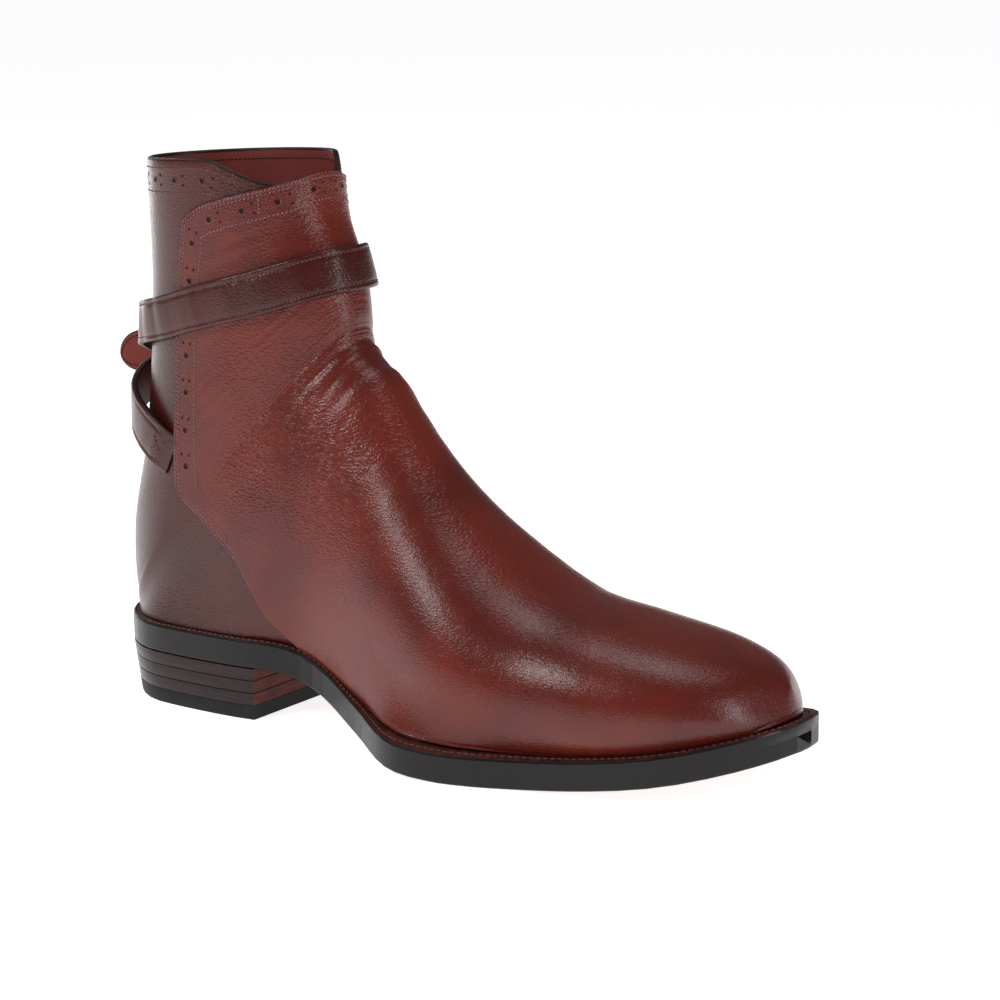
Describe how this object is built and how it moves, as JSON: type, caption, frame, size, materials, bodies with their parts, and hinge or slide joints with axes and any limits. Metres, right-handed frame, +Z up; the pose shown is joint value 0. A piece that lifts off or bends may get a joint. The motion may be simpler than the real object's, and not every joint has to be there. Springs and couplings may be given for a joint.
{
  "type": "jodhpur boot",
  "caption": "Leather ankle boot for the right foot with a wrapped strap, a small buckle on the inner side, a brogued front panel and a stacked heel",
  "frame": {"origin": "on the floor under the middle of the heel", "axes": "+X to the toe, +Y to the inner side of the foot, +Z up"},
  "size_m": [0.3331, 0.1059, 0.2153],
  "materials": {
    "upper": "polished mahogany",
    "front_panel": "polished mahogany",
    "long_strap": "polished dark brown",
    "buckle_strap": "polished dark brown",
    "outsole": "black dyed edge",
    "welt": "dyed and waxed",
    "insole": "plain",
    "heel_lift_1": "black dyed edge",
    "heel_lift_2": "black dyed edge",
    "heel_lift_3": "black dyed edge",
    "top_lift": "plain rubber",
    "buckle_frame": "polished",
    "buckle_prong": "polished"
  },
  "bodies": {
    "root": {"upper": "upper", "front_panel": "front_panel", "long_strap": "long_strap", "buckle_strap": "buckle_strap", "outsole": "outsole", "welt": "welt", "insole": "insole", "heel_lift_1": "heel_lift_1", "heel_lift_2": "heel_lift_2", "heel_lift_3": "heel_lift_3", "top_lift": "top_lift", "buckle_frame": "buckle_frame", "buckle_prong": "buckle_prong"}
  },
  "joints": []
}
